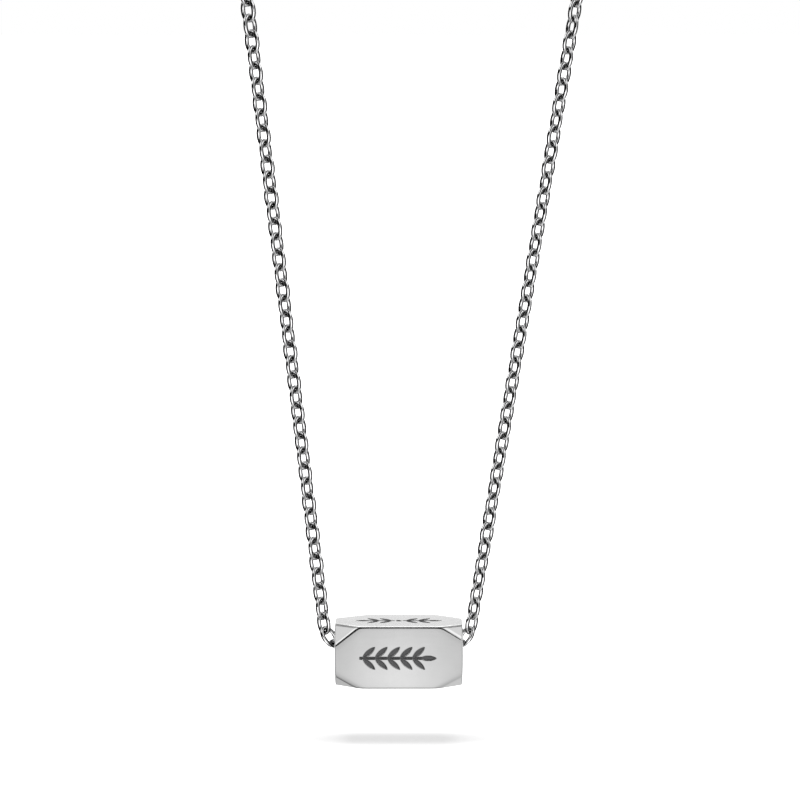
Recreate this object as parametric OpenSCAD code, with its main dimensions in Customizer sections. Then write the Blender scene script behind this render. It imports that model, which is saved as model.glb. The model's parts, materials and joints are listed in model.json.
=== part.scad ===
/* [Bar] */
// Length of the bar over its domed ends
bar_length = 15.2; // [15:0.1:15.2]
// Width of each of the four long faces
bar_side = 7.35; // [7:0.05:7.4]
// Radius of the shallow dome on each end
end_dome = 45; // [40:5:80]
// Diameter of the hole that the chain runs through
bore = 4.6; // [4.6:0.05:4.8]
// Depth of the countersink at each mouth of the hole
mouth = 0.6; // [0.55:0.05:0.65]
// Depth of the engraved sprigs
engraving = 0.15; // [0.1:0.05:0.3]

/* [Chain] */
// Thickness of the wire of a link
wire = 0.46; // [0.42:0.02:0.48]
// Width of a link over its wires
link_width = 2.08; // [2.04:0.02:2.12]
// Distance from one link to the next on a straight stretch
pitch = 1.8; // [1.78:0.01:1.82]
// Free play between two neighbouring links
play = 0.18; // [0.16:0.01:0.2]
// Lean of the left strand from the vertical, in degrees
left_lean = 6.7; // [6:0.1:8]
// Lean of the right strand from the vertical, in degrees
right_lean = 9.2; // [9:0.1:10]
// Radius of the bend that goes round the neck
neck_radius = 31; // [30:0.5:31]
// Height of the chain in the hole, above the bar's own axis
chain_lift = 0.3; // [0.2:0.05:0.3]

/* [Clasp] */
// Thickness of the wire of a jump ring
ring_wire = 0.5; // [0.45:0.05:0.55]
// Radius of a jump ring, to the middle of its wire
ring_radius = 1.2; // [1.2:0.05:1.3]
// Thickness of the tube of the clasp
clasp_tube = 1.1; // [1:0.05:1.2]
// Radius of the clasp, to the middle of its tube
clasp_radius = 2.4; // [2.3:0.1:2.6]
// Thickness of the wire of the clasp's eye
eye_wire = 0.6; // [0.55:0.05:0.65]
// Radius of the clasp's eye, to the middle of its wire
eye_radius = 1; // [1:0.05:1.1]

/* [Hidden] */

left = -1;
right = 1;

// Each row is one cut corner of the bar: left or right, front or back, bottom or top,
// then how far the cut is set back along the length, the depth and the height.
corner_cuts = [
    [left, -1, 1, 2.9, 2, 2.35],
    [right, -1, 1, 2.5, 1.3, 1.55],
    [left, -1, -1, 2.95, 2.1, 1.7],
    [right, -1, -1, 2.85, 2, 1.55],
    [left, 1, 1, 3.6, 2, 1.95],
    [right, 1, 1, 3, 2.15, 1.95],
    [left, 1, -1, 2.9, 2.15, 1.95],
    [right, 1, -1, 2.9, 2.15, 1.95]
];

// Engraved sprigs: how many pairs of leaves, the step between pairs, the size of a leaf, and the stem's line.
front_pairs = 5;
top_pairs = 2;
leaf_step = 1.45;
leaf_length = 1.85;
leaf_width = 0.5;
leaf_angle = 42;
stem_line = 0.2;
berry = 0.6;

// A link is two half rings and two straight sides.
bow = (link_width - wire) / 2;
link_side = pitch + wire + play - 2 * bow;

// Route of the chain: through the hole, round two slanting links at each mouth, then up a straight strand.
// The links in the hole are counted from the left, and the two lengths of chain meet at one joint there.
hole_links = 7;
meeting_joint = 4;
left_hole = 5.98;
right_hole = 5.7;
hole_step = (left_hole + right_hole) / hole_links;
turn_slopes = [24, 54];
function hole_reach(side) = side == left ? left_hole : right_hole;
function foot_x(side) = hole_reach(side) + pitch * (cos(turn_slopes[0]) + cos(turn_slopes[1]));
foot_z = chain_lift + pitch * (sin(turn_slopes[0]) + sin(turn_slopes[1]));

// The neck bend touches both strands: its middle stands neck_rise above their feet.
neck_rise = (neck_radius * (cos(left_lean) + cos(right_lean))
    - (foot_x(left) + foot_x(right)) * cos(left_lean) * cos(right_lean)) / sin(left_lean + right_lean);
neck_x = (neck_radius - neck_rise * sin(left_lean)) / cos(left_lean) - foot_x(left);
neck_z = foot_z + neck_rise;

// The rings and the clasp lie in one straight row across the top, from the last link on one side to the other.
link_to_ring = (wire + ring_wire) / 2 + play;
ring_to_eye = (ring_wire + eye_wire) / 2 + play;
clasp_to_ring = (clasp_tube + ring_wire) / 2 + play;
clasp_span = 2 * (eye_radius + clasp_radius);
row_half = (4 * ring_radius + clasp_span - 2 * link_to_ring - ring_to_eye - clasp_to_ring + wire + play) / 2;
row_angle = asin(row_half / neck_radius);
row_z = neck_z + neck_radius * cos(row_angle);

function lean(side) = side == left ? left_lean : right_lean;
function strand_length(side) = (neck_x - side * foot_x(side)) * side * sin(lean(side)) + neck_rise * cos(lean(side));
function arc_length(side) = neck_radius * (90 + lean(side) - row_angle) * PI / 180;
function run_links(side) = round((strand_length(side) + arc_length(side)) / pitch);
function run_step(side) = (strand_length(side) + arc_length(side)) / run_links(side);

// A point of the strand and the neck bend, at a distance along them from the strand's foot.
function neck_turn(side, along) = lean(side) - (along - strand_length(side)) / neck_radius * 180 / PI;
function run_point(side, along) = along <= strand_length(side)
    ? [side * (foot_x(side) + along * sin(lean(side))), 0, foot_z + along * cos(lean(side))]
    : [neck_x + side * neck_radius * cos(neck_turn(side, along)),
       0, neck_z - neck_radius * sin(neck_turn(side, along))];

// Where neighbouring links meet, from the middle of the hole to the jump ring.
function hole_points(side) = [
    for (k = side == left ? [meeting_joint : -1 : 0] : [meeting_joint : hole_links])
        [k * hole_step - left_hole, 0, chain_lift]
];
function turn_point(side) = [
    side * (hole_reach(side) + pitch * cos(turn_slopes[0])), 0, chain_lift + pitch * sin(turn_slopes[0])
];
function joints(side) = concat(
    hole_points(side),
    [turn_point(side)],
    [for (k = [0 : run_links(side)]) run_point(side, k * run_step(side))]
);

// Links lie crosswise, half a right angle out of the loop's plane, and on the neck bend they twist until
// the last one lies flat in that plane.
function arc_share(side, along) = max(0, (along - strand_length(side)) / arc_length(side));
function roll(side, k, last) =
    45 + 90 * k + arc_share(side, (k - last + run_links(side)) * run_step(side)) * (last % 2 == 0 ? 45 : -45);

module ring(radius, thickness) {
    rotate_extrude($fn = 48) translate([radius, 0]) circle(d = thickness, $fn = 24);
}

module link() {
    for (turn = [0, 180]) rotate([0, 0, turn]) {
        translate([link_side / 2, 0, 0]) rotate([0, 0, -90])
            rotate_extrude(angle = 180, $fn = 48) translate([bow, 0]) circle(d = wire, $fn = 24);
        translate([-link_side / 2, bow, 0]) rotate([0, 90, 0]) cylinder(h = link_side, d = wire, $fn = 24);
    }
}

module from_hang_point() {
    translate([-neck_x, 0, -row_z]) children();
}

module chain(side) {
    points = joints(side);
    last = len(points) - 2;
    color("silver") from_hang_point() for (k = [0 : last]) {
        way = points[k + 1] - points[k];
        translate((points[k] + points[k + 1]) / 2) rotate([0, -atan2(way.z, way.x), 0])
            rotate([roll(side, k, last), 0, 0]) link();
    }
}

module leaf() {
    curve = (leaf_length * leaf_length + leaf_width * leaf_width) / (4 * leaf_width);
    apart = curve - leaf_width / 2;
    intersection() {
        translate([leaf_length / 2, apart, 0]) cylinder(h = 1, r = curve, $fn = 60);
        translate([leaf_length / 2, -apart, 0]) cylinder(h = 1, r = curve, $fn = 60);
    }
}

// A straight sprig that grows along +X from the origin: a stem, pairs of leaves and one leaf at its tip.
module sprig(pairs) {
    stem = pairs * leaf_step;
    translate([0, -stem_line / 2, 0]) cube([stem, stem_line, 1]);
    for (k = [0 : pairs - 1]) for (s = [-1, 1])
        translate([(k + 0.25) * leaf_step, s * stem_line / 4, 0]) rotate([0, 0, s * leaf_angle]) leaf();
    translate([stem - stem_line, 0, 0]) leaf();
}

module front_engraving() {
    whole = front_pairs * leaf_step + leaf_length;
    rotate([90, 0, 0]) translate([-whole / 2, 0, bar_side / 2 - engraving]) sprig(front_pairs);
}

module top_engraving() {
    translate([0, 0, bar_side / 2 - engraving]) {
        cylinder(h = 1, d = berry, $fn = 32);
        for (turn = [0, 180]) rotate([0, 0, turn]) translate([berry * 0.8, 0, 0]) sprig(top_pairs);
    }
}

module corner_cut(row) {
    out = [row[0] / row[3], row[1] / row[4], row[2] / row[5]];
    way = out / norm(out);
    translate([row[0] * (bar_length / 2 - row[3]), row[1] * bar_side / 2, row[2] * bar_side / 2])
        rotate([0, acos(way.z), atan2(way.y, way.x)])
            translate([-bar_side, -bar_side, 0]) cube([2 * bar_side, 2 * bar_side, bar_side]);
}

module bar() {
    color("gainsboro") from_hang_point() difference() {
        intersection() {
            cube([bar_length, bar_side, bar_side], center = true);
            translate([end_dome - bar_length / 2, 0, 0]) sphere(r = end_dome, $fn = 200);
            translate([bar_length / 2 - end_dome, 0, 0]) sphere(r = end_dome, $fn = 200);
        }
        for (row = corner_cuts) corner_cut(row);
        rotate([0, 90, 0]) cylinder(h = bar_length + 2, d = bore, center = true, $fn = 64);
        for (side = [left, right]) rotate([0, side * 90, 0])
            translate([0, 0, bar_length / 2 - mouth])
                cylinder(h = 2 * mouth, d1 = bore, d2 = bore + 4 * mouth, $fn = 64);
        front_engraving();
        top_engraving();
    }
}

module jump_ring(side) {
    reach = row_half - (wire + play) / 2 + link_to_ring - ring_radius;
    color("silver") translate([side * reach, 0, 0]) ring(ring_radius, ring_wire);
}

module clasp() {
    eye_end = -row_half + (wire + play) / 2 - link_to_ring + 2 * ring_radius - ring_to_eye;
    color("lightgray") rotate([90, 0, 0]) {
        translate([eye_end + eye_radius, 0, 0]) ring(eye_radius, eye_wire);
        translate([eye_end + 2 * eye_radius + clasp_radius, 0, 0]) ring(clasp_radius, clasp_tube);
    }
}

bar();
chain(left);  // chain_left
chain(right);  // chain_right
jump_ring(left);  // ring_left
jump_ring(right);  // ring_right
clasp();
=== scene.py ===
# Looks of the spinning bar necklace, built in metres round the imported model.
import json
import math

import bpy
import numpy as np
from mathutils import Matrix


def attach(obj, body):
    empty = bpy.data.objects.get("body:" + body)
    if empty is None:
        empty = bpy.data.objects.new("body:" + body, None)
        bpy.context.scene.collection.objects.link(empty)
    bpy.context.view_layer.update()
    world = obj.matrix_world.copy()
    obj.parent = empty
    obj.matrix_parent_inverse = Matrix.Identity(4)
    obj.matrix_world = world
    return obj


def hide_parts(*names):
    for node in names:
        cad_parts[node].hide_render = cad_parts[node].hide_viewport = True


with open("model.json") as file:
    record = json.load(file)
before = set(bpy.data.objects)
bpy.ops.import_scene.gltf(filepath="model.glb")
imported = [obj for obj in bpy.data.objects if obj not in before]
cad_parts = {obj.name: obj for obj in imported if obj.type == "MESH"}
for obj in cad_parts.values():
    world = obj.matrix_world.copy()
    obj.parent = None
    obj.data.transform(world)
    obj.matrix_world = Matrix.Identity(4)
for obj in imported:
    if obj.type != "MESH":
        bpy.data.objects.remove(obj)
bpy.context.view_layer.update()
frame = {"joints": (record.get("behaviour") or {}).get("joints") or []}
mm = 0.001
barCentre = np.array(frame["joints"][0]["pos_m"], float)  # the middle of the hole, on the axis of the spin
print("stage: frame loaded")


# Grids and meshes

def gridFaces(rows, columns, wrapRows=False, wrapColumns=False):
    # Quads of a rows x columns grid of points: corner, next column, next row and column, next row.
    r = np.arange(rows if wrapRows else rows - 1)
    c = np.arange(columns if wrapColumns else columns - 1)
    r, c = np.meshgrid(r, c, indexing="ij")
    r1, c1 = (r + 1) % rows, (c + 1) % columns
    quads = np.stack([r * columns + c, r * columns + c1, r1 * columns + c1, r1 * columns + c], -1)
    return quads.reshape(-1, 4)


def signedVolume(points, faces):
    # Sum of the tetrahedra from the origin to each half quad: positive where the faces point outwards.
    a, b, c, d = (points[faces[:, k]] for k in range(4))
    return (np.einsum("ij,ij->i", a, np.cross(b, c)) + np.einsum("ij,ij->i", a, np.cross(c, d))).sum() / 6


def makePiece(name, points, faces, material, body, nodes, attributes=None):
    # Puts a point array and a quad array into a mesh object that stands for the CAD nodes named. Quads that
    # face inwards are turned round first.
    points = np.asarray(points, float).reshape(-1, 3)
    if signedVolume(points - points.mean(0), faces) < 0:
        faces = faces[:, ::-1]
    mesh = bpy.data.meshes.new(name)
    mesh.from_pydata(points.tolist(), [], faces.tolist())
    mesh.polygons.foreach_set("use_smooth", np.ones(len(faces), bool))
    for key, values in (attributes or {}).items():
        layer = mesh.attributes.new(key, "FLOAT", "POINT")
        layer.data.foreach_set("value", np.asarray(values, float).ravel())
    mesh.update()
    piece = bpy.data.objects.new(name, mesh)
    bpy.context.scene.collection.objects.link(piece)
    mesh.materials.append(material)
    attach(piece, body)
    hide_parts(*nodes)
    print(f"stage: {name}, {len(faces)} quads")
    return piece


def fullTurn(count):
    # Angles of a full turn, in equal steps.
    return np.linspace(0, 2 * math.pi, count, endpoint=False)


def smoothStep(x):
    # 0 below 0, 1 above 1, and 3x2 - 2x3 between.
    x = np.clip(x, 0, 1)
    return x * x * (3 - 2 * x)


# Materials

def nodeMaterial(name):
    # An empty material with one Principled shader; returns the material, its tree and the shader.
    material = bpy.data.materials.new(name)
    material.use_nodes = True
    tree = material.node_tree
    tree.nodes.clear()
    out = tree.nodes.new("ShaderNodeOutputMaterial")
    shader = tree.nodes.new("ShaderNodeBsdfPrincipled")
    tree.links.new(shader.outputs[0], out.inputs["Surface"])
    return material, tree, shader


def addNoise(tree, scale, detail=3, stretch=(1, 1, 1)):
    # Noise on Object coordinates, stretched along the axes given; returns its 0 to 1 output.
    place = tree.nodes.new("ShaderNodeTexCoord")
    mapping = tree.nodes.new("ShaderNodeMapping")
    mapping.inputs["Scale"].default_value = stretch
    noise = tree.nodes.new("ShaderNodeTexNoise")
    noise.inputs["Scale"].default_value = scale
    noise.inputs["Detail"].default_value = detail
    tree.links.new(place.outputs["Object"], mapping.inputs["Vector"])
    tree.links.new(mapping.outputs["Vector"], noise.inputs["Vector"])
    return noise.outputs["Fac"]


def addMath(tree, operation, *inputs):
    # One Math node, whose inputs are numbers or other nodes' outputs.
    node = tree.nodes.new("ShaderNodeMath")
    node.operation = operation
    for socket, value in zip(node.inputs, inputs):
        if isinstance(value, (int, float)):
            socket.default_value = value
        else:
            tree.links.new(value, socket)
    return node.outputs[0]


def addRange(tree, value, low, high):
    # Carries 0..1 to low..high.
    spread = tree.nodes.new("ShaderNodeMapRange")
    spread.inputs["To Min"].default_value = low
    spread.inputs["To Max"].default_value = high
    tree.links.new(value, spread.inputs["Value"])
    return spread.outputs["Result"]


def addMix(tree, factor, first, second):
    # The first colour where the factor is 0, the second where it is 1; each is a tuple or an output.
    mix = tree.nodes.new("ShaderNodeMix")
    mix.data_type = "RGBA"
    for socket, colour in ((mix.inputs[6], first), (mix.inputs[7], second)):  # the node's two colours
        if isinstance(colour, tuple):
            socket.default_value = (*colour, 1)
        else:
            tree.links.new(colour, socket)
    tree.links.new(factor, mix.inputs[0])
    return mix.outputs[2]


def addBump(tree, shader, height, distance, strength, before=None):
    # Bump of the height output times the distance in metres, on top of an earlier bump if one is given.
    bump = tree.nodes.new("ShaderNodeBump")
    bump.inputs["Distance"].default_value = distance
    bump.inputs["Strength"].default_value = strength
    tree.links.new(height, bump.inputs["Height"])
    if before is not None:
        tree.links.new(before, bump.inputs["Normal"])
    tree.links.new(bump.outputs["Normal"], shader.inputs["Normal"])
    return bump.outputs["Normal"]


markDepth = 0.00001  # of the fine polishing marks on every metal, in metres

# The darkest chain colour is painted shade inside the bows, with some tarnish.
chainFinish = {"light": (0.84, 0.84, 0.845), "dark": (0.73, 0.73, 0.735), "shadeAndTarnish": (0.10, 0.10, 0.10),
               "rough": (0.04, 0.10), "patches": 900, "gloss": 2500, "marks": 6000, "markStrength": 0.25}


def chainMaterial():
    # Bright polished wire: faint patches of colour and gloss, drawing marks too fine to see one by one, and
    # painted shade with some tarnish inside the bows, where the links rub on each other and shade one
    # another.
    material, tree, shader = nodeMaterial("polishedWire")
    shader.inputs["Metallic"].default_value = 1
    patches = addNoise(tree, chainFinish["patches"])
    clean = addMix(tree, patches, chainFinish["dark"], chainFinish["light"])
    # Dark colour painted on the bows' inner sides: shade where the links meet, with some tarnish.
    inside = tree.nodes.new("ShaderNodeAttribute")
    inside.attribute_name = "inside"
    colour = addMix(tree, inside.outputs["Fac"], clean, chainFinish["shadeAndTarnish"])
    tree.links.new(colour, shader.inputs["Base Color"])
    gloss = addNoise(tree, chainFinish["gloss"], detail=4)
    tree.links.new(addRange(tree, gloss, *chainFinish["rough"]), shader.inputs["Roughness"])
    addBump(tree, shader, addNoise(tree, chainFinish["marks"]), markDepth, chainFinish["markStrength"])
    return material


barFinish = {
    "light": (0.62, 0.62, 0.62), "dark": (0.55, 0.55, 0.55), "clouds": 420,
    "rough": (0.09, 0.15), "gloss": 1100,
    "lines": 2600, "lineStretch": (0.12, 1, 1), "lineStrength": 0.3,
    "ink": (0.19, 0.19, 0.193), "inkRough": 0.55,
    "dome": (3.0, 6.0, 6.0),  # how strongly the polish domes each face along x, y and z, for each metre
}


def barMaterial():
    # Satin polish: soft clouds of tone, fine polishing lines along the bar, and dark colour in the engraving.
    material, tree, shader = nodeMaterial("satinBar")
    shader.inputs["Metallic"].default_value = 1
    ink = tree.nodes.new("ShaderNodeAttribute")
    ink.attribute_name = "ink"
    clouds = addNoise(tree, barFinish["clouds"])
    metalColour = addMix(tree, clouds, barFinish["dark"], barFinish["light"])
    colour = addMix(tree, ink.outputs["Fac"], metalColour, barFinish["ink"])
    tree.links.new(colour, shader.inputs["Base Color"])
    rough = addRange(tree, addNoise(tree, barFinish["gloss"]), *barFinish["rough"])
    rougher = tree.nodes.new("ShaderNodeMix")
    tree.links.new(ink.outputs["Fac"], rougher.inputs[0])
    tree.links.new(rough, rougher.inputs[2])
    rougher.inputs[3].default_value = barFinish["inkRough"]
    tree.links.new(rougher.outputs[0], shader.inputs["Roughness"])
    # Polishing has left each face very slightly domed: the height falls with the square of the distance from
    # the bar's middle, as the product of the offset and of the same offset weighted by the dome.
    place = tree.nodes.new("ShaderNodeTexCoord")
    offset = tree.nodes.new("ShaderNodeVectorMath")
    offset.operation = "SUBTRACT"
    offset.inputs[1].default_value = tuple(barCentre)
    weighted = tree.nodes.new("ShaderNodeVectorMath")
    weighted.operation = "MULTIPLY"
    weighted.inputs[1].default_value = tuple(-share for share in barFinish["dome"])
    height = tree.nodes.new("ShaderNodeVectorMath")
    height.operation = "DOT_PRODUCT"
    tree.links.new(place.outputs["Object"], offset.inputs[0])
    tree.links.new(offset.outputs[0], weighted.inputs[0])
    tree.links.new(weighted.outputs[0], height.inputs[0])
    tree.links.new(offset.outputs[0], height.inputs[1])
    domed = addBump(tree, shader, height.outputs["Value"], distance=1, strength=1)
    lines = addNoise(tree, barFinish["lines"], detail=2, stretch=barFinish["lineStretch"])
    addBump(tree, shader, lines, markDepth, barFinish["lineStrength"], domed)
    return material


# The bar

bar = {
    "length": 15.2, "side": 7.35, "dome": 45, "bore": 4.6, "mouth": 0.6,
    "engraving": 0.15,           # depth
    "edge": 55, "endEdge": 300,  # the higher, the sharper the edges: all but the ends', and the ends' own
    "spine": 6.0,                # where the rays of each end start, from the middle
    "farthest": 7.0,             # longer than any ray
    "halvings": 26,              # how often a ray is halved to find where it leaves the bar
    # The turns of an end's rays, as shares of the way from the mouth to square: each stretch and its count.
    "turns": ((0, 0.12, 6), (0.14, 0.42, 20), (0.45, 1, 14)),
    "engraved": 5, "engravedRays": 164,   # half the finely sampled stretch, and its rays
    "plainStop": 5.05, "plainRays": 12,   # the plain rays from a spine's end stop before this
    # Samples over half a face, from 0 at its middle to 1 at its edge: how far short of the edge the nearest
    # lie, the next stretch and its count, and the middle band with its counts on an engraved and a bare face.
    "nearEdge": (0.004, 0.014, 0.026, 0.042, 0.065, 0.1), "besideBand": (0.87, 0.45, 15),
    "band": 0.42, "bandCounts": (50, 14),
    "lipOut": 0.04, "lipIn": 0.05,        # how far rings stand from the rim and the countersink's inner edge
    "boreInset": 0.6, "boreRings": 8,     # where the plain rings begin inside that edge, and how many
}

# Cut corners: side along x, y and z, then the setbacks along them.
cornerCuts = np.array([
    (-1, -1, 1, 2.9, 2.0, 2.35),
    (1, -1, 1, 2.5, 1.3, 1.55),
    (-1, -1, -1, 2.95, 2.1, 1.7),
    (1, -1, -1, 2.85, 2.0, 1.55),
    (-1, 1, 1, 3.6, 2.0, 1.95),
    (1, 1, 1, 3.0, 2.15, 1.95),
    (-1, 1, -1, 2.9, 2.15, 1.95),
    (1, 1, -1, 2.9, 2.15, 1.95),
])

sprig = {
    "step": 1.45, "leaf": 1.85, "width": 0.5, "angle": 42, "stem": 0.2, "berry": 0.6,
    "frontPairs": 5, "topPairs": 2,
    "firstPair": 0.25,  # where the first leaves start, as a share of the step
    "topStart": 0.8,    # where each top sprig starts, as a share of the berry
    "soft": 0.07,       # width of the engraving's wall
    "spill": 0.04,      # how far the colour runs up it
    "skin": 0.2,        # how deep under a face a point still counts as its own
    "never": 9,         # a distance that engraves nothing
}


def barLevel(p):
    # How far out a point is: each face, dome and cut gives its distance over its own height, and the sum of
    # their high powers is 1 on the surface, which rounds the edges.
    half = bar["side"] / 2
    radius2 = p[..., 1] ** 2 + p[..., 2] ** 2
    domed = (np.abs(p[..., 0]) + radius2 / (2 * bar["dome"])) / (bar["length"] / 2)
    level = domed ** bar["endEdge"]
    for across in (p[..., 1], p[..., 2]):
        level += (np.abs(across) / half) ** bar["edge"]
    for cut in cornerCuts:
        way = cut[:3] / cut[3:]
        corner = np.array([bar["length"] / 2, half, half])
        reach = (corner / cut[3:]).sum() - 1
        level += (np.maximum(p @ way, 0) / reach) ** bar["edge"]
    return level


def leafDistance(x, y):
    # Distance to a leaf from the origin to (leaf, 0): inside both of two circles that cross at its tips.
    length, width = sprig["leaf"], sprig["width"]
    curve = (length ** 2 + width ** 2) / (4 * width)
    apart = curve - width / 2
    return np.maximum(np.hypot(x - length / 2, y - apart), np.hypot(x - length / 2, y + apart)) - curve


def sprigDistance(x, y, pairs):
    # A stem along x, pairs of leaves swept forward and one leaf at its tip: the least of their distances.
    stem = pairs * sprig["step"]
    away = np.maximum(np.abs(x - stem / 2) - stem / 2, np.abs(y) - sprig["stem"] / 2)
    away = np.minimum(away, leafDistance(x - stem + sprig["stem"], y))
    angle = math.radians(sprig["angle"])
    for k in range(pairs):
        for s in (-1, 1):
            u, v = x - (k + sprig["firstPair"]) * sprig["step"], s * y - sprig["stem"] / 4
            away = np.minimum(away, leafDistance(u * math.cos(angle) + v * math.sin(angle),
                                                 v * math.cos(angle) - u * math.sin(angle)))
    return away


def engraved(distance):
    # 1 inside the line, 0 outside, and a smooth step across the wall between.
    return smoothStep(0.5 - distance / sprig["soft"])


def faceRows(fine):
    # Samples of one long face across its width, -1 to 1, close together at the edges and in the fine band.
    side = np.concatenate([1 - np.array(bar["nearEdge"]), np.linspace(*bar["besideBand"])])
    band = np.linspace(-bar["band"], bar["band"], bar["bandCounts"][0 if fine else 1])
    return np.concatenate([-side, band, side[::-1]])


def barPiece():
    # The outer skin is where rays from a spine on the axis reach level 1. They are a grid of angles round the
    # axis and of turns from it. The skin runs into the hole's rings, so the grid closes both ways.
    half = bar["side"] / 2
    # Angles round the axis, from the four faces: front, top, back, bottom.
    angles = np.concatenate([math.radians(90 * k) + np.arctan(faceRows(k < 2)) for k in range(4)])
    aroundY, aroundZ = -np.cos(angles), np.sin(angles)
    # Rays along the length: turned out from the spine's ends to the mouths, square to it between. They stand
    # closest where they cross the rounded edge of an end, and along the engraving.
    mouthX = bar["length"] / 2 - bar["mouth"]
    widest = bar["bore"] / 2 + bar["mouth"]
    mouthR = widest - widest ** 2 / (2 * bar["dome"])
    rimX = bar["length"] / 2 - mouthR ** 2 / (2 * bar["dome"])
    mouthTurn = math.atan2(mouthR, rimX - bar["spine"])
    shares = np.concatenate([np.linspace(*stretch) for stretch in bar["turns"]])[:-1]
    turns = mouthTurn + (math.pi / 2 - mouthTurn) * shares
    plain = np.linspace(bar["spine"], bar["plainStop"], bar["plainRays"])[:-1]
    fine = np.linspace(bar["engraved"], -bar["engraved"], bar["engravedRays"])
    across = np.concatenate([plain, fine, -plain[::-1]])
    spineX = np.concatenate([np.full(len(turns), bar["spine"]), across, np.full(len(turns), -bar["spine"])])
    turnAll = np.concatenate([turns, np.full(len(across), math.pi / 2), math.pi - turns[::-1]])
    start = np.zeros((len(spineX), len(angles), 3))
    start[..., 0] = spineX[:, None]
    ray = np.stack(np.broadcast_arrays(np.cos(turnAll)[:, None], np.sin(turnAll)[:, None] * aroundY,
                                       np.sin(turnAll)[:, None] * aroundZ), -1)
    low, high = np.zeros(start.shape[:2]), np.full(start.shape[:2], bar["farthest"])
    for halving in range(bar["halvings"]):
        middle = (low + high) / 2
        inside = barLevel(start + ray * middle[..., None]) < 1
        low, high = np.where(inside, middle, low), np.where(inside, high, middle)
    outer = start + ray * low[..., None]
    # The engraving sinks the front face along +Y and the top face down.
    x, y, z = outer[..., 0], outer[..., 1], outer[..., 2]
    frontWhole = sprig["frontPairs"] * sprig["step"] + sprig["leaf"]
    front = sprigDistance(x + frontWhole / 2, z, sprig["frontPairs"])
    front += sprig["never"] * (y > sprig["skin"] - half)
    topSprigs = sprigDistance(np.abs(x) - sprig["topStart"] * sprig["berry"], y, sprig["topPairs"])
    top = np.minimum(topSprigs, np.hypot(x, y) - sprig["berry"] / 2)
    top += sprig["never"] * (z < half - sprig["skin"])
    outer[..., 1] += engraved(front) * bar["engraving"]
    outer[..., 2] -= engraved(top) * bar["engraving"]
    ink = engraved(np.minimum(front, top) - sprig["spill"])  # the colour covers the groove's walls as well
    # The hole: rings from the left mouth to the right one, of the bore's radius, and growing with the
    # distance past the countersink's inner edge. They start just inside each rim, and stand on both sides of
    # that edge.
    lip = np.array([rimX - bar["lipIn"], (rimX + mouthX) / 2, mouthX + bar["lipOut"], mouthX - bar["lipIn"]])
    boreEnd = mouthX - bar["boreInset"]
    ringX = np.concatenate([-lip, np.linspace(-boreEnd, boreEnd, bar["boreRings"]), lip[::-1]])
    ringR = bar["bore"] / 2 + np.clip(np.abs(ringX) - mouthX, 0, None)
    inner = np.stack(np.broadcast_arrays(ringX[:, None], ringR[:, None] * aroundY,
                                         ringR[:, None] * aroundZ), -1)
    points = np.concatenate([outer, inner])
    ink = np.concatenate([ink, np.zeros(inner.shape[:2])])
    faces = gridFaces(*points.shape[:2], wrapRows=True, wrapColumns=True)
    return makePiece("engravedBar", points * mm + barCentre, faces, barMaterial(), "bar",
                     ["bar"], {"ink": ink})


barObject = barPiece()


# The chain

dice = np.random.default_rng(7)
chain = {
    "pitch": 1.8, "lean": (6.7, 9.2),  # lean of the left strand and of the right one, in degrees
    "neck": 31, "rowHalf": 4.605,      # radius of the bend, and half the clasp's row across its top
    "hole": (5.98, 5.7), "holeLinks": 7, "meeting": 4,  # reach of the links in the hole, and their joint
    "lift": 0.3, "slopes": (24, 54),   # their height, and the slopes of the two links at each mouth
    "roll": 45,          # how far the links lie out of the loop's plane, in degrees like the turns below
    "hang": ((10, 6), (-7, -2)),  # extra turn of the even and the odd links of each strand
    "settle": 5,         # over how many links from the mouth that turn grows
    "wobble": 2.5,       # spread of the links' own turns
    "wire": 0.46, "play": 0.18,  # of the solids that the route is laid out for
    "drawnWire": 0.54, "drawnWidth": 2.02,  # the sizes that a link is drawn with
    "touch": 0.02,       # play between links under load
    "oval": 2.1,         # 2 for an ellipse, more for a squarer link
    "flatness": 0.95,    # thickness of the wire across the link, as a share of its width
    # The next two place the dark colour painted inside the bows as shade and tarnish.
    "shadeAndTarnishFrom": (0.35, 0.4),  # share of the link's length, and cosine round the section
    "shadeAndTarnishFade": (0.3, 0.7),   # over how much of each it sets in
    "around": 24, "section": 12,  # points round a link, and round its wire
}


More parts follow.
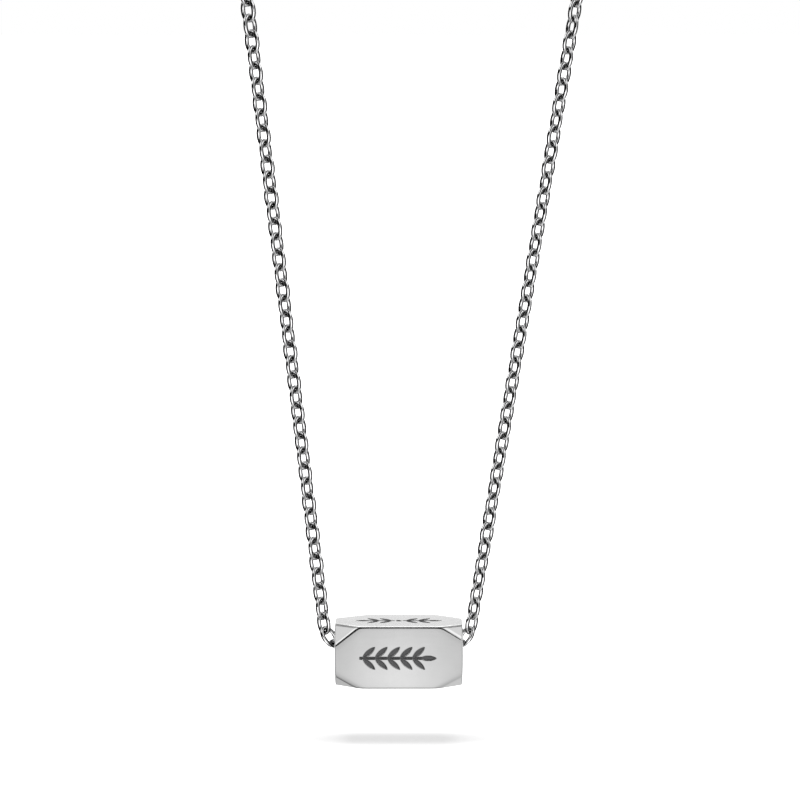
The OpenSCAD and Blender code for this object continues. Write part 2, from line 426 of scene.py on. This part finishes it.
def chainRoute(side):
    # Points where neighbouring links meet: along the hole, round two slanting links, up a straight
    # strand and round an arc that touches both strands, to the jump ring.
    lean = np.radians(chain["lean"])
    pitch, slopes = chain["pitch"], np.radians(chain["slopes"])
    feet = [hole + pitch * np.cos(slopes).sum() for hole in chain["hole"]]
    footZ = chain["lift"] + pitch * np.sin(slopes).sum()
    radius = chain["neck"]
    rise = (radius * np.cos(lean).sum() - sum(feet) * np.cos(lean).prod()) / math.sin(lean.sum())
    neckX = (radius - rise * math.sin(lean[0])) / math.cos(lean[0]) - feet[0]
    sign, own = (-1, 0) if side == "left" else (1, 1)
    straight = (neckX - sign * feet[own]) * sign * math.sin(lean[own]) + rise * math.cos(lean[own])
    bend = radius * (math.pi / 2 + lean[own] - math.asin(chain["rowHalf"] / radius))
    count = round((straight + bend) / pitch)
    along = np.arange(count + 1) * (straight + bend) / count
    turn = lean[own] - (along - straight) / radius
    onStrand = along <= straight
    runX = np.where(onStrand, sign * (feet[own] + along * math.sin(lean[own])),
                    neckX + sign * radius * np.cos(turn))
    runZ = np.where(onStrand, footZ + along * math.cos(lean[own]),
                    footZ + rise - radius * np.sin(turn))
    step = sum(chain["hole"]) / chain["holeLinks"]
    holeEnd, way = (-1, -1) if side == "left" else (chain["holeLinks"] + 1, 1)
    holeX = np.arange(chain["meeting"], holeEnd, way) * step - chain["hole"][0]
    slantX = sign * (chain["hole"][own] + pitch * math.cos(slopes[0]))
    slantZ = chain["lift"] + pitch * math.sin(slopes[0])
    x = np.concatenate([holeX, [slantX], runX])
    z = np.concatenate([np.full(len(holeX), chain["lift"]), [slantZ], runZ])
    # The strand's first link, and how far round the bend each link has come, 0 to 1.
    first = len(holeX) + 1
    pastStrand = (np.arange(len(x) - 1) - first + 1) * (straight + bend) / count - straight
    return x, z, np.clip(pastStrand, 0, None) / bend, first


def linkFrames(side):
    # Middle, axis, flat side and thickness direction of each link of one half of the chain. Each link is
    # rolled a quarter turn on from the one before, and the last lies flat in the loop's plane.
    x, z, share, first = chainRoute(side)
    count = len(x) - 1
    k = np.arange(count)
    axis = np.stack([np.diff(x), np.zeros(count), np.diff(z)], -1)
    axis /= np.linalg.norm(axis, axis=1)[:, None]
    middle = np.stack([(x[1:] + x[:-1]) / 2, np.zeros(count), (z[1:] + z[:-1]) / 2], -1)
    hang = np.array(chain["hang"][0 if side == "left" else 1])[k % 2]
    # The extra turn grows from the first slanting link upwards, and fades round the bend.
    settle = np.clip((k - first + 2) / chain["settle"], 0, 1) * np.clip(1 - share, 0, 1)
    last = count - 1
    twist = chain["roll"] if last % 2 == 0 else -chain["roll"]
    roll = chain["roll"] + 90 * k + hang * settle + share * twist
    roll = np.radians(roll + dice.normal(0, chain["wobble"], count))
    crossways = np.array([0, 1.0, 0])
    inPlane = np.cross(axis, crossways)
    flat = np.cos(roll)[:, None] * crossways + np.sin(roll)[:, None] * inPlane
    return middle, axis, flat, np.cross(axis, flat)


def linkGrid():
    # One link in its own axes: the wire's middle follows a slightly squared oval, half the length times the
    # cosine and half the width times the sine, both to a power a little under 1. The wire's section is a
    # circle a little flattened towards the link's two flat sides.
    t = fullTurn(chain["around"])
    wire = chain["drawnWire"]
    halfLength = (chain["pitch"] + wire + chain["touch"]) / 2
    halfWidth = (chain["drawnWidth"] - wire) / 2
    power = 2 / chain["oval"]
    cx = halfLength * np.sign(np.cos(t)) * np.abs(np.cos(t)) ** power
    cy = halfWidth * np.sign(np.sin(t)) * np.abs(np.sin(t)) ** power
    dx, dy = np.roll(cx, -1) - np.roll(cx, 1), np.roll(cy, -1) - np.roll(cy, 1)
    size = np.hypot(dx, dy)
    nx, ny = dy / size, -dx / size
    s = fullTurn(chain["section"]) + math.pi / chain["section"]
    out = wire / 2 * np.cos(s)
    up = wire / 2 * chain["flatness"] * np.sin(s)
    points = np.stack([cx[:, None] + nx[:, None] * out, cy[:, None] + ny[:, None] * out,
                       np.broadcast_to(up, (chain["around"], chain["section"]))], -1)
    # The inner side of each bow, painted dark as shade between the links with some tarnish: near the link's
    # ends and on the half of the section that faces its middle.
    end, half = chain["shadeAndTarnishFrom"]
    endFade, halfFade = chain["shadeAndTarnishFade"]
    alongLink = smoothStep((np.abs(cx) / halfLength - end) / endFade)
    aroundWire = smoothStep((half - np.cos(s)) / halfFade)
    return points, alongLink[:, None] * aroundWire


def chainPiece():
    # The link's grid, carried to the middle of each link and turned onto its three directions.
    parts = [linkFrames(side) for side in ("left", "right")]
    middle, axis, flat, thick = (np.concatenate([a, b])[:, None, None] for a, b in zip(*parts))
    shape, inside = linkGrid()
    points = middle + shape[..., 0, None] * axis + shape[..., 1, None] * flat + shape[..., 2, None] * thick
    one = gridFaces(chain["around"], chain["section"], True, True)
    jump = np.arange(len(middle)) * chain["around"] * chain["section"]
    faces = (one[None] + jump[:, None, None]).reshape(-1, 4)
    # Each point carries how much painted shade and tarnish it gets, as the attribute inside.
    return makePiece("cableChain", points * mm + barCentre, faces, wireMaterial, "necklace",
                     ["chain_left", "chain_right"], {"inside": np.tile(inside.ravel(), len(middle))})


wireMaterial = chainMaterial()
chainObject = chainPiece()


# The jump rings and the clasp

ring = {
    "wire": 0.5, "radius": 1.2,
    "clear": 0.18,     # from the wire of a neighbour
    "seam": 0.05,      # half width of the butt seam
    "nick": 0.22,      # how deep the seam cuts in, as a share of the wire
    "fineTurn": 0.09,  # how far the closer rows reach on either side of the seam, in radians
    "around": 72, "closer": 19,
}
clasp = {
    "tube": 1.1, "radius": 2.4, "eyeWire": 0.6, "eyeRadius": 1.0,
    "bolt": 0.43, "boltFrom": 38, "boltTo": 86,   # radius of the sliding bolt, and where it shows, in degrees
    "step": 0.04, "fineTurn": 0.06,  # turn over which the tube steps down to the bolt, and its closer rows
    "around": 96, "closer": 13, "section": 28, "eyeAround": 60,
    "knobAt": 122, "knobRadius": 0.3, "knobAround": 20,
    # The knob's circles: how far from the clasp's middle, and how wide as a share of its radius.
    "knob": ((2.4, 0.001), (2.4, 0.6), (2.95, 0.6), (3.0, 0.8), (3.05, 1), (3.2, 1), (3.26, 0.85),
             (3.28, 0.5), (3.28, 0.001)),
}
# From the middle of the row to the outer end of each jump ring, which stands clear of the last link's wire.
lastWire = chain["rowHalf"] - (chain["wire"] + chain["play"]) / 2
ringEnd = lastWire + (chain["wire"] + ring["wire"]) / 2 + ring["clear"]

claspFinish = {"light": (0.90, 0.90, 0.905), "dark": (0.80, 0.80, 0.805), "rough": (0.06, 0.15),
               "clouds": 500, "gloss": 1400, "marks": 3000, "markStrength": 0.25}


def claspMaterial():
    # Polished like the chain, a little cloudier.
    material, tree, shader = nodeMaterial("polishedClasp")
    shader.inputs["Metallic"].default_value = 1
    clouds = addNoise(tree, claspFinish["clouds"])
    colour = addMix(tree, clouds, claspFinish["dark"], claspFinish["light"])
    tree.links.new(colour, shader.inputs["Base Color"])
    gloss = addNoise(tree, claspFinish["gloss"], detail=4)
    tree.links.new(addRange(tree, gloss, *claspFinish["rough"]), shader.inputs["Roughness"])
    addBump(tree, shader, addNoise(tree, claspFinish["marks"]), markDepth, claspFinish["markStrength"])
    return material


def hoop(radius, thickness, angles, section=24):
    # A ring in the XY plane: at each angle a circle whose radius is the thickness given for it, round the
    # middle line.
    thickness = np.broadcast_to(thickness, angles.shape)
    s = fullTurn(section)
    out = radius + thickness[:, None] * np.cos(s)
    return np.stack([out * np.cos(angles)[:, None], out * np.sin(angles)[:, None],
                     thickness[:, None] * np.sin(s)], -1)


def jumpRing(name, side, node):
    # Round wire with a butt seam, which nicks it at the back of the ring as a narrow bell curve.
    seamAt = math.pi / 2
    closer = seamAt + np.linspace(-ring["fineTurn"], ring["fineTurn"], ring["closer"])
    angles = np.unique(np.concatenate([fullTurn(ring["around"]), closer]))
    nick = 1 - ring["nick"] * np.exp(-((angles - seamAt) * ring["radius"] / ring["seam"]) ** 2)
    points = hoop(ring["radius"], ring["wire"] / 2 * nick, angles)
    points[..., 0] += side * (ringEnd - ring["radius"])
    faces = gridFaces(*points.shape[:2], True, True)
    return makePiece(name, points * mm, faces, wireMaterial, "necklace", [node])


def claspPiece():
    # A spring ring: a tube bent round, thinner where its bolt shows, a small knob that draws the bolt back,
    # and an eye. It is laid in the XY plane with its eye on the left, and then stood up.
    eyeEnd = 2 * ring["radius"] - ringEnd - (ring["wire"] + clasp["eyeWire"]) / 2 - ring["clear"]
    eyeX = eyeEnd + clasp["eyeRadius"]
    claspX = eyeX + clasp["eyeRadius"] + clasp["radius"]
    ends = np.radians([clasp["boltFrom"], clasp["boltTo"]])
    closer = [end + np.linspace(-clasp["fineTurn"], clasp["fineTurn"], clasp["closer"]) for end in ends]
    angles = np.unique(np.concatenate([fullTurn(clasp["around"])] + closer))
    boltShare = smoothStep((angles - ends[0]) / clasp["step"] + 0.5) \
        * smoothStep((ends[1] - angles) / clasp["step"] + 0.5)
    thickness = clasp["tube"] / 2 + (clasp["bolt"] - clasp["tube"] / 2) * boltShare
    tube = hoop(clasp["radius"], thickness, angles, clasp["section"])
    tube[..., 0] += claspX
    eye = hoop(clasp["eyeRadius"], clasp["eyeWire"] / 2, fullTurn(clasp["eyeAround"]))
    eye[..., 0] += eyeX
    # The knob is a turned pin that points out from the clasp's middle, closed at both ends.
    reach, wide = np.array(clasp["knob"]).T
    wide = wide * clasp["knobRadius"]
    s, at = fullTurn(clasp["knobAround"]), math.radians(clasp["knobAt"])
    along = np.array([math.cos(at), math.sin(at), 0])
    across = np.array([-math.sin(at), math.cos(at), 0])
    upwards = np.array([0, 0, 1.0])
    knob = reach[:, None, None] * along \
        + wide[:, None, None] * (np.cos(s)[:, None] * across + np.sin(s)[:, None] * upwards)
    knob[..., 0] += claspX
    # The three grids go one after another into one point array and one quad array.
    points, faces, count = [], [], 0
    for grid, wrapRows in ((tube, True), (eye, True), (knob, False)):
        points.append(grid.reshape(-1, 3))
        faces.append(gridFaces(*grid.shape[:2], wrapRows, True) + count)
        count += len(points[-1])
    points, faces = np.concatenate(points), np.concatenate(faces)
    points = np.stack([points[:, 0], -points[:, 2], points[:, 1]], -1)
    return makePiece("springRingClasp", points * mm, faces, claspMaterial(), "necklace",
                     ["clasp"])


jumpRing("leftJumpRing", -1, "ring_left")
jumpRing("rightJumpRing", 1, "ring_right")
claspPiece()


# Camera, floor and light

camera = {
    "elevation": 12.5, "distance": 353.5,  # from the bar's middle, in degrees and mm
    "tilt": 4.79, "aside": 0.147,          # how far above the bar it looks, and how far right it stands
    "lens": 135, "sensor": 36,
}


def placeCamera():
    # It stands in front of the bar, high enough to see the top face, and its axis passes above the bar.
    up = math.radians(camera["elevation"])
    down = math.radians(camera["elevation"] - camera["tilt"])
    data = bpy.data.cameras.new("photoCamera")
    data.lens = camera["lens"]
    data.sensor_width = camera["sensor"]
    data.clip_start, data.clip_end = 0.01, 50
    eye = bpy.data.objects.new("photoCamera", data)
    eye.location = barCentre + np.array([camera["aside"], -camera["distance"] * math.cos(up),
                                         camera["distance"] * math.sin(up)]) * mm
    eye.rotation_euler = (math.pi / 2 - down, 0, 0)
    bpy.context.scene.collection.objects.link(eye)
    bpy.context.scene.camera = eye


placeCamera()

stage = {
    "drop": 10.5, "size": 6000,            # how far the floor lies under the bar's middle, and its reach
    "white": 0.92, "rough": 0.9,           # its paleness and roughness
    "glow": 0.562, "glowRise": 18000, "glowMost": 1.5,  # its own light: least, rise a square metre, most
    "ambient": 0.21,                       # light from all round
    "lampSize": 36.5, "lampPower": 1.04,   # the lamp's width in degrees, and its strength
}


def makeStage():
    # The floor is one square, whose own light makes up for what the lamp leaves of the photo's white.
    corner = stage["size"] * mm
    z = barCentre[2] - stage["drop"] * mm
    mesh = bpy.data.meshes.new("paleFloor")
    mesh.from_pydata([(-corner, -corner, z), (corner, -corner, z), (corner, corner, z), (-corner, corner, z)],
                     [], [(0, 1, 2, 3)])
    floor = bpy.data.objects.new("paleFloor", mesh)
    bpy.context.scene.collection.objects.link(floor)
    material, tree, shader = nodeMaterial("paleCard")
    shader.inputs["Base Color"].default_value = (stage["white"],) * 3 + (1,)
    shader.inputs["Roughness"].default_value = stage["rough"]
    shader.inputs["Specular IOR Level"].default_value = 0
    shader.inputs["Emission Color"].default_value = (1, 1, 1, 1)
    # The glow rises with the square of the distance behind or before the bar, so its shadow stays narrow.
    place = tree.nodes.new("ShaderNodeTexCoord")
    split = tree.nodes.new("ShaderNodeSeparateXYZ")
    tree.links.new(place.outputs["Object"], split.inputs[0])
    away = split.outputs["Y"]
    square = addMath(tree, "MULTIPLY", away, away)
    rising = addMath(tree, "MULTIPLY_ADD", square, stage["glowRise"], stage["glow"])
    tree.links.new(addMath(tree, "MINIMUM", rising, stage["glowMost"]), shader.inputs["Emission Strength"])
    mesh.materials.append(material)
    floor.visible_glossy = False  # the studio below stands for it in the polished metal


def makeLamp():
    # One wide soft lamp straight above, which drops the faint shadow under the bar.
    data = bpy.data.lights.new("overheadLamp", "SUN")
    data.energy = stage["lampPower"]
    data.angle = math.radians(stage["lampSize"])
    lamp = bpy.data.objects.new("overheadLamp", data)
    lamp.visible_glossy = False
    bpy.context.scene.collection.objects.link(lamp)


# Pale walls that shine in one piece alone. Those left and right of the bar keep its upright faces from
# turning black when it is seen from the side, and the one in front whitens the middle of the chain's wire
# between its dark outlines. Each has its side (-1 left, 1 right, 0 in front), its distance, its start and end
# along the other level axis, its bottom and top, all in mm from the bar, then its tone and the piece.
walls = {
    "leftFront": (-1, 300, -445, 40, -260, 150, 0.36, barObject),
    "rightFront": (1, 300, -445, 40, -260, 150, 0.47, barObject),
    "leftRear": (-1, 300, 40, 520, -260, 150, 0.8, barObject),
    "rightRear": (1, 300, 40, 520, -260, 150, 0.8, barObject),
    "ahead": (0, 400, -130, 130, -240, 30, 0.85, chainObject),
}


def makeWalls():
    # Each wall is an area lamp turned towards the bar, as strong as its tone asks at its size.
    for name, (side, away, start, end, bottom, top, tone, piece) in walls.items():
        data = bpy.data.lights.new(name, "AREA")
        data.shape = "RECTANGLE"
        wall = bpy.data.objects.new(name, data)
        wide, tall = (end - start) * mm, (top - bottom) * mm
        middle, level = (start + end) / 2, (bottom + top) / 2
        if side:
            data.size, data.size_y = tall, wide
            wall.rotation_euler = (0, side * math.pi / 2, 0)
            place = np.array([side * away, middle, level])
        else:
            data.size, data.size_y = wide, tall
            wall.rotation_euler = (math.pi / 2, 0, 0)
            place = np.array([middle, -away, level])
        data.energy = tone * math.pi * data.size * data.size_y
        wall.location = barCentre + place * mm
        wall.visible_camera = False
        receivers = bpy.data.collections.new(name)
        receivers.objects.link(piece)
        wall.light_linking.receiver_collection = receivers
        bpy.context.scene.collection.objects.link(wall)


# What the polished metal reflects is a bright studio with flags in it. Each flag is a patch of sky: its side
# (-1 left, 1 right, 0 both), how far round from the camera it lies (least, most), its height over the horizon
# (least, most) and its softness, all in degrees, and its tone, which the level there is multiplied by.
flags = {
    "roomLeft": (-1, -1, 36, 2, 66, 3, 0.02),
    "roomRight": (1, -1, 20, 2, 66, 3, 0.02),
    "brightLeft": (-1, 38, 66, 27, 50, 3, 1.45),
    "brightRight": (1, 27, 64, 24, 62, 4, 1.4),
    "leftCard": (-1, 34, 150, -44, 24, 4, 0.0),
    "rightCard": (1, 43, 150, -44, 28, 4, 0.03),
    "floorAhead": (0, -1, 13, -91, -30, 4, 0.7),
    "leftFloor": (-1, 20, 181, -91, -36, 6, 0.68),
    "rightFloor": (1, 20, 181, -91, -40, 6, 0.82),
    "undersideAhead": (0, -1, 22, -84, -46, 5, 0.45),
    "undersideLeft": (-1, 16, 181, -91, -57, 5, 0.35),
    "leftBack": (-1, 98, 168, 26, 60, 4, 0.5),
    "rightBack": (1, 98, 168, 28, 66, 4, 0.55),
    "farWall": (0, 100, 181, 3, 19, 1.5, 0.90),
    "farGlow": (0, 176.5, 181, 20.5, 40, 1.5, 3.4),
}
# Each ceiling flag crosses overhead: half its width as a share of the sky's radius, then where it starts and
# ends, in degrees up from the camera's side and over, its softness and its tone.
ceilings = {"near": (0.38, 55, 104, 5, 0.03), "far": (0.17, 100, 151, 4, 0.03)}
studio = {
    "level": 1.13,           # where no flag lies
    "camera": 1.0,           # what the camera sees past the floor
    "sideSoft": 0.03,        # how softly a one-sided flag ends at the middle, as a share of the sky's radius
    "ceilingSoft": 0.06,     # the same at a ceiling flag's ends
    "low": 0.73, "lowTop": (-2, 3), "lowSide": (40, 10),  # tone of the floor in front, and its soft limits
    "pool": 0.46, "poolWide": 5.5, "poolTall": 11, "poolHeight": -17,  # a brighter pool on it, in two bells
}


def makeWorld():
    # Glossy rays see the studio, camera rays plain white, and all others an even light.
    world = bpy.data.worlds.new("whiteStudio")
    bpy.context.scene.world = world
    world.use_nodes = True
    tree = world.node_tree
    tree.nodes.clear()

    def step(operation, *inputs):
        return addMath(tree, operation, *inputs)

    def above(value, limit, soft):  # 0 below the limit, 1 above it
        rise = tree.nodes.new("ShaderNodeMapRange")
        rise.interpolation_type = "SMOOTHSTEP"
        rise.inputs["From Min"].default_value = limit - soft
        rise.inputs["From Max"].default_value = limit + soft
        tree.links.new(value, rise.inputs["Value"])
        return rise.outputs["Result"]

    def below(value, limit, soft):  # 1 below the limit, 0 above it
        return step("SUBTRACT", 1, above(value, limit, soft))

    def between(value, least, most, soft):
        return step("MULTIPLY", above(value, least, soft), below(value, most, soft))

    def bell(value, middle, width):  # exp(-(value - middle)2 / width2)
        share = step("DIVIDE", step("SUBTRACT", value, middle), width)
        return step("POWER", math.e, step("MULTIPLY", -1, step("MULTIPLY", share, share)))

    def toned(level, mask, tone):  # the level times the tone where the mask is 1
        return step("MULTIPLY", level, step("SUBTRACT", 1, step("MULTIPLY", mask, 1 - tone)))

    def background(strength):
        node = tree.nodes.new("ShaderNodeBackground")
        node.inputs["Color"].default_value = (1, 1, 1, 1)
        if isinstance(strength, float):
            node.inputs["Strength"].default_value = strength
        else:
            tree.links.new(strength, node.inputs["Strength"])
        return node.outputs[0]

    def choose(factor, first, second):  # the first shader where the factor is 0, the second where it is 1
        mix = tree.nodes.new("ShaderNodeMixShader")
        for socket, value in zip(mix.inputs, (factor, first, second)):
            tree.links.new(value, socket)
        return mix.outputs[0]

    # A direction, as degrees round from the camera, over the horizon, and up from the camera's side and over.
    place = tree.nodes.new("ShaderNodeTexCoord")
    split = tree.nodes.new("ShaderNodeSeparateXYZ")
    tree.links.new(place.outputs["Generated"], split.inputs[0])
    x, y, z = split.outputs
    front, sideways = step("MULTIPLY", y, -1), step("ABSOLUTE", x)
    around = step("MULTIPLY", step("ARCTAN2", sideways, front), 180 / math.pi)
    height = step("MULTIPLY", step("ARCSINE", z), 180 / math.pi)
    over = step("MULTIPLY", step("ARCTAN2", z, front), 180 / math.pi)

    low = step("MULTIPLY", below(height, *studio["lowTop"]), below(around, *studio["lowSide"]))
    shine = step("MULTIPLY", bell(around, 0, studio["poolWide"]),
                 bell(height, studio["poolHeight"], studio["poolTall"]))
    extra = step("ADD", studio["low"] - 1, step("MULTIPLY", shine, studio["pool"]))
    level = step("MULTIPLY", studio["level"], step("ADD", 1, step("MULTIPLY", low, extra)))
    for side, least, most, bottom, top, soft, tone in flags.values():
        mask = step("MULTIPLY", between(around, least, most, soft), between(height, bottom, top, soft))
        if side:
            mask = step("MULTIPLY", mask, above(step("MULTIPLY", x, side), 0, studio["sideSoft"]))
        level = toned(level, mask, tone)
    for half, least, most, soft, tone in ceilings.values():
        crossing = below(sideways, half, studio["ceilingSoft"])
        level = toned(level, step("MULTIPLY", crossing, between(over, least, most, soft)), tone)

    path = tree.nodes.new("ShaderNodeLightPath")
    out = tree.nodes.new("ShaderNodeOutputWorld")
    lit = choose(path.outputs["Is Glossy Ray"], background(stage["ambient"]), background(level))
    seen = choose(path.outputs["Is Camera Ray"], lit, background(studio["camera"]))
    tree.links.new(seen, out.inputs["Surface"])


makeStage()
makeLamp()
makeWalls()
makeWorld()
bpy.context.scene.view_settings.view_transform = "Standard"
print("stage: camera, floor and light")
